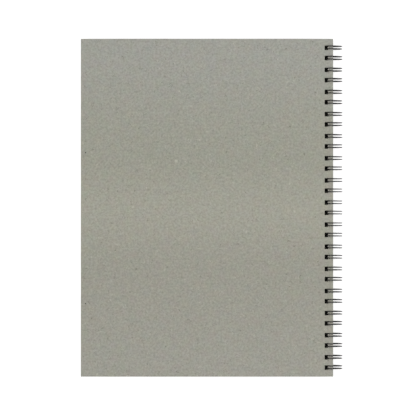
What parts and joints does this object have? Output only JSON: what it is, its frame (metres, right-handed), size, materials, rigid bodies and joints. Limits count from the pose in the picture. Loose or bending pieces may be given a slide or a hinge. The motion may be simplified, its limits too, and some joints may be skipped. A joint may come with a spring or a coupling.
{
  "type": "wire-bound sketchbook",
  "caption": "Closed sketchbook lying face down: grey back board, drawing sheets and a front cover on a black twin-loop wire binding, opening about the wire.",
  "frame": {"origin": "middle of the whole book's footprint, on the plane that the wire loops rest on", "axes": "+Y along the spine towards the head of the book; +X across the cover towards the wire; +Z out of the back board, up as the book lies face down"},
  "size_m": [0.2006, 0.2588, 0.0136],
  "materials": {
    "grey_board": "uncoated grey board, matt",
    "cover_board": "board covered in plain black matt paper",
    "coated_wire": "black nylon-coated steel, satin",
    "drawing_paper": "uncoated white drawing paper, matt"
  },
  "bodies": {
    "front": {"front_cover": "cover_board"},
    "back": {"back_board": "grey_board", "binding_wire": "coated_wire"},
    "leaf_01": {"sheet_01": "drawing_paper"},
    "leaf_02": {"sheet_02": "drawing_paper"},
    "leaf_03": {"sheet_03": "drawing_paper"},
    "leaf_04": {"sheet_04": "drawing_paper"},
    "leaf_05": {"sheet_05": "drawing_paper"},
    "leaf_06": {"sheet_06": "drawing_paper"},
    "leaf_07": {"sheet_07": "drawing_paper"},
    "leaf_08": {"sheet_08": "drawing_paper"},
    "leaf_09": {"sheet_09": "drawing_paper"},
    "leaf_10": {"sheet_10": "drawing_paper"},
    "leaf_11": {"sheet_11": "drawing_paper"},
    "leaf_12": {"sheet_12": "drawing_paper"},
    "leaf_13": {"sheet_13": "drawing_paper"},
    "leaf_14": {"sheet_14": "drawing_paper"},
    "leaf_15": {"sheet_15": "drawing_paper"},
    "leaf_16": {"sheet_16": "drawing_paper"},
    "leaf_17": {"sheet_17": "drawing_paper"},
    "leaf_18": {"sheet_18": "drawing_paper"},
    "leaf_19": {"sheet_19": "drawing_paper"},
    "leaf_20": {"sheet_20": "drawing_paper"}
  },
  "joints": [
    {"name": "book_open", "type": "hinge", "parent": "front", "child": "back", "pos_m": [0.09351, 0, 0.00678], "axis": [0, 1, 0], "range_deg": [0, 180]},
    {"name": "leaf_01_turn", "type": "hinge", "parent": "front", "child": "leaf_01", "pos_m": [0.09351, 0, 0.00678], "axis": [0, 1, 0], "range_deg": [0, 180]},
    {"name": "leaf_02_turn", "type": "hinge", "parent": "front", "child": "leaf_02", "pos_m": [0.09351, 0, 0.00678], "axis": [0, 1, 0], "range_deg": [0, 180]},
    {"name": "leaf_03_turn", "type": "hinge", "parent": "front", "child": "leaf_03", "pos_m": [0.09351, 0, 0.00678], "axis": [0, 1, 0], "range_deg": [0, 180]},
    {"name": "leaf_04_turn", "type": "hinge", "parent": "front", "child": "leaf_04", "pos_m": [0.09351, 0, 0.00678], "axis": [0, 1, 0], "range_deg": [0, 180]},
    {"name": "leaf_05_turn", "type": "hinge", "parent": "front", "child": "leaf_05", "pos_m": [0.09351, 0, 0.00678], "axis": [0, 1, 0], "range_deg": [0, 180]},
    {"name": "leaf_06_turn", "type": "hinge", "parent": "front", "child": "leaf_06", "pos_m": [0.09351, 0, 0.00678], "axis": [0, 1, 0], "range_deg": [0, 180]},
    {"name": "leaf_07_turn", "type": "hinge", "parent": "front", "child": "leaf_07", "pos_m": [0.09351, 0, 0.00678], "axis": [0, 1, 0], "range_deg": [0, 180]},
    {"name": "leaf_08_turn", "type": "hinge", "parent": "front", "child": "leaf_08", "pos_m": [0.09351, 0, 0.00678], "axis": [0, 1, 0], "range_deg": [0, 180]},
    {"name": "leaf_09_turn", "type": "hinge", "parent": "front", "child": "leaf_09", "pos_m": [0.09351, 0, 0.00678], "axis": [0, 1, 0], "range_deg": [0, 180]},
    {"name": "leaf_10_turn", "type": "hinge", "parent": "front", "child": "leaf_10", "pos_m": [0.09351, 0, 0.00678], "axis": [0, 1, 0], "range_deg": [0, 180]},
    {"name": "leaf_11_turn", "type": "hinge", "parent": "front", "child": "leaf_11", "pos_m": [0.09351, 0, 0.00678], "axis": [0, 1, 0], "range_deg": [0, 180]},
    {"name": "leaf_12_turn", "type": "hinge", "parent": "front", "child": "leaf_12", "pos_m": [0.09351, 0, 0.00678], "axis": [0, 1, 0], "range_deg": [0, 180]},
    {"name": "leaf_13_turn", "type": "hinge", "parent": "front", "child": "leaf_13", "pos_m": [0.09351, 0, 0.00678], "axis": [0, 1, 0], "range_deg": [0, 180]},
    {"name": "leaf_14_turn", "type": "hinge", "parent": "front", "child": "leaf_14", "pos_m": [0.09351, 0, 0.00678], "axis": [0, 1, 0], "range_deg": [0, 180]},
    {"name": "leaf_15_turn", "type": "hinge", "parent": "front", "child": "leaf_15", "pos_m": [0.09351, 0, 0.00678], "axis": [0, 1, 0], "range_deg": [0, 180]},
    {"name": "leaf_16_turn", "type": "hinge", "parent": "front", "child": "leaf_16", "pos_m": [0.09351, 0, 0.00678], "axis": [0, 1, 0], "range_deg": [0, 180]},
    {"name": "leaf_17_turn", "type": "hinge", "parent": "front", "child": "leaf_17", "pos_m": [0.09351, 0, 0.00678], "axis": [0, 1, 0], "range_deg": [0, 180]},
    {"name": "leaf_18_turn", "type": "hinge", "parent": "front", "child": "leaf_18", "pos_m": [0.09351, 0, 0.00678], "axis": [0, 1, 0], "range_deg": [0, 180]},
    {"name": "leaf_19_turn", "type": "hinge", "parent": "front", "child": "leaf_19", "pos_m": [0.09351, 0, 0.00678], "axis": [0, 1, 0], "range_deg": [0, 180]},
    {"name": "leaf_20_turn", "type": "hinge", "parent": "front", "child": "leaf_20", "pos_m": [0.09351, 0, 0.00678], "axis": [0, 1, 0], "range_deg": [0, 180]}
  ],
  "couplings": [
    {"joint": "leaf_01_turn", "follows": "book_open", "ratio": 0.002},
    {"joint": "leaf_02_turn", "follows": "book_open", "ratio": 0.004},
    {"joint": "leaf_03_turn", "follows": "book_open", "ratio": 0.006},
    {"joint": "leaf_04_turn", "follows": "book_open", "ratio": 0.008},
    {"joint": "leaf_05_turn", "follows": "book_open", "ratio": 0.01},
    {"joint": "leaf_06_turn", "follows": "book_open", "ratio": 0.012},
    {"joint": "leaf_07_turn", "follows": "book_open", "ratio": 0.014},
    {"joint": "leaf_08_turn", "follows": "book_open", "ratio": 0.016},
    {"joint": "leaf_09_turn", "follows": "book_open", "ratio": 0.018},
    {"joint": "leaf_10_turn", "follows": "book_open", "ratio": 0.02},
    {"joint": "leaf_11_turn", "follows": "book_open", "ratio": 0.98},
    {"joint": "leaf_12_turn", "follows": "book_open", "ratio": 0.982},
    {"joint": "leaf_13_turn", "follows": "book_open", "ratio": 0.984},
    {"joint": "leaf_14_turn", "follows": "book_open", "ratio": 0.986},
    {"joint": "leaf_15_turn", "follows": "book_open", "ratio": 0.988},
    {"joint": "leaf_16_turn", "follows": "book_open", "ratio": 0.99},
    {"joint": "leaf_17_turn", "follows": "book_open", "ratio": 0.992},
    {"joint": "leaf_18_turn", "follows": "book_open", "ratio": 0.994},
    {"joint": "leaf_19_turn", "follows": "book_open", "ratio": 0.996},
    {"joint": "leaf_20_turn", "follows": "book_open", "ratio": 0.998}
  ]
}
